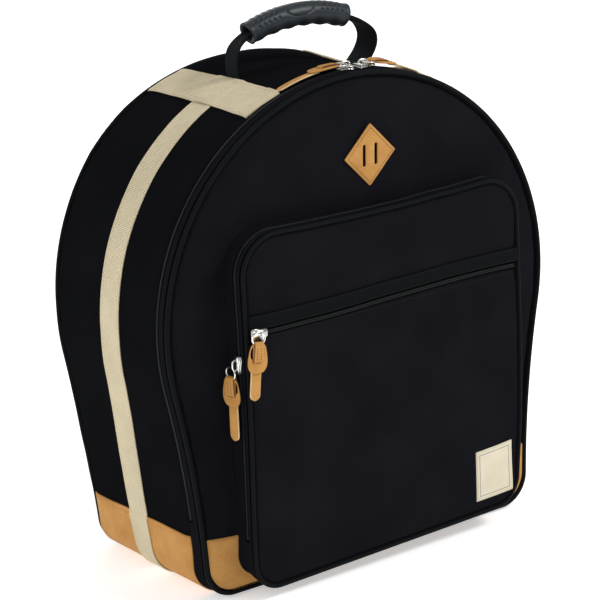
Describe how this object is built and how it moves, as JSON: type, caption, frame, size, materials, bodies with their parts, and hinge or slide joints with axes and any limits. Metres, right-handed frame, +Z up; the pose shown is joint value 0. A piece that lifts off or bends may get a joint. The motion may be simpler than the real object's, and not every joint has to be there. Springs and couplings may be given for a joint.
{
  "type": "snare drum bag",
  "caption": "Padded round-topped drum bag with a zipped front door, a zipped front pocket with a slip pocket, and a carrying handle.",
  "frame": {"origin": "centre of the flat leather base that the bag stands on", "axes": "+Z up, -Y towards the front door and its pocket, +X to the right as seen from the front"},
  "size_m": [0.4212, 0.2344, 0.5],
  "materials": {
    "nylon": "tight plain weave, faint sheen",
    "tape": "woven tape and piping, a little smoother than the cloth",
    "foam": "matte padding",
    "lining": "thin smooth lining",
    "leather": "suede-like, matte",
    "webbing": "ribbed webbing",
    "label": "woven, matte",
    "metal": "polished",
    "rubber": "moulded, satin"
  },
  "bodies": {
    "bag_body": {"body_gusset": "nylon", "gusset_foam": "foam", "gusset_lining": "lining", "back_panel": "nylon", "back_foam": "foam", "back_lining": "lining", "back_piping": "tape", "base_leather": "leather", "body_zip_half": "tape", "handle_band_left": "webbing", "handle_band_right": "webbing", "side_webbing_left": "webbing", "side_webbing_right": "webbing"},
    "front_door": {"front_panel": "nylon", "front_foam": "foam", "front_lining": "lining", "front_piping": "tape", "front_edge_strip": "nylon", "door_zip_half": "tape", "door_hinge_strip": "nylon", "front_leather": "leather", "lash_patch": "leather", "pocket_gusset": "nylon", "pocket_zip_rear_half": "tape"},
    "pocket_flap": {"pocket_lower_panel": "nylon", "pocket_upper_panel": "nylon", "pocket_zip_ribbon": "tape", "slip_pocket_zip": "tape", "slip_pocket_backing": "lining", "pocket_piping": "tape", "pocket_edge_strip": "nylon", "pocket_zip_front_half": "tape", "pocket_hinge_strip": "nylon", "woven_label": "label"},
    "handle": {"handle_webbing": "tape", "handle_grip": "rubber"},
    "slider_left": {"main_left_slider": "metal"},
    "slider_right": {"main_right_slider": "metal"},
    "slider_pocket": {"pocket_slider": "metal"},
    "slider_slip_pocket": {"slip_pocket_slider": "metal"},
    "pull_left": {"main_left_ring": "metal", "main_left_pull": "leather"},
    "pull_right": {"main_right_ring": "metal", "main_right_pull": "leather"},
    "pull_pocket": {"pocket_ring": "metal", "pocket_pull": "leather"},
    "pull_slip_pocket": {"slip_pocket_ring": "metal", "slip_pocket_pull": "leather"}
  },
  "joints": [
    {"name": "door_hinge", "type": "hinge", "parent": "bag_body", "child": "front_door", "pos_m": [0, -0.089, 0.0041], "axis": [1, 0, 0], "range_deg": [0, 78], "deforming": ["door_hinge_strip"]},
    {"name": "pocket_hinge", "type": "hinge", "parent": "front_door", "child": "pocket_flap", "pos_m": [0, -0.127, 0.0167], "axis": [-1, 0, 0], "range_deg": [-75, 0], "deforming": ["pocket_hinge_strip"]},
    {"name": "handle_hinge", "type": "hinge", "parent": "bag_body", "child": "handle", "pos_m": [0, 0, 0.4386], "axis": [1, 0, 0], "range_deg": [-62, 62], "stiffness_Nm_per_rad": 0.15, "deforming": ["handle_webbing"]},
    {"name": "main_left_slide", "type": "hinge", "parent": "bag_body", "child": "slider_left", "pos_m": [0, -0.0755, 0.241], "axis": [0, -1, 0], "range_deg": [0, 86]},
    {"name": "main_right_slide", "type": "hinge", "parent": "bag_body", "child": "slider_right", "pos_m": [0, -0.0755, 0.241], "axis": [0, 1, 0], "range_deg": [0, 84]},
    {"name": "pocket_slide", "type": "slide", "parent": "front_door", "child": "slider_pocket", "axis": [0, 0, 1], "range_m": [-0.1315, 0.0705]},
    {"name": "slip_pocket_slide", "type": "slide", "parent": "pocket_flap", "child": "slider_slip_pocket", "axis": [1, 0, 0], "range_m": [0, 0.273]},
    {"name": "main_left_pull_hinge", "type": "hinge", "parent": "slider_left", "child": "pull_left", "pos_m": [0.00448, -0.0755, 0.45485], "axis": [0, 1, 0], "range_deg": [0, 90]},
    {"name": "main_right_pull_hinge", "type": "hinge", "parent": "slider_right", "child": "pull_right", "pos_m": [0.02384, -0.0755, 0.45357], "axis": [0, -1, 0], "range_deg": [0, 90]},
    {"name": "pocket_pull_hinge", "type": "hinge", "parent": "slider_pocket", "child": "pull_pocket", "pos_m": [-0.1579, -0.117, 0.2205], "axis": [0, 1, 0], "range_deg": [0, 150]},
    {"name": "slip_pocket_pull_hinge", "type": "hinge", "parent": "slider_slip_pocket", "child": "pull_slip_pocket", "pos_m": [-0.1375, -0.1345, 0.2515], "axis": [-1, 0, 0], "range_deg": [0, 150]}
  ]
}
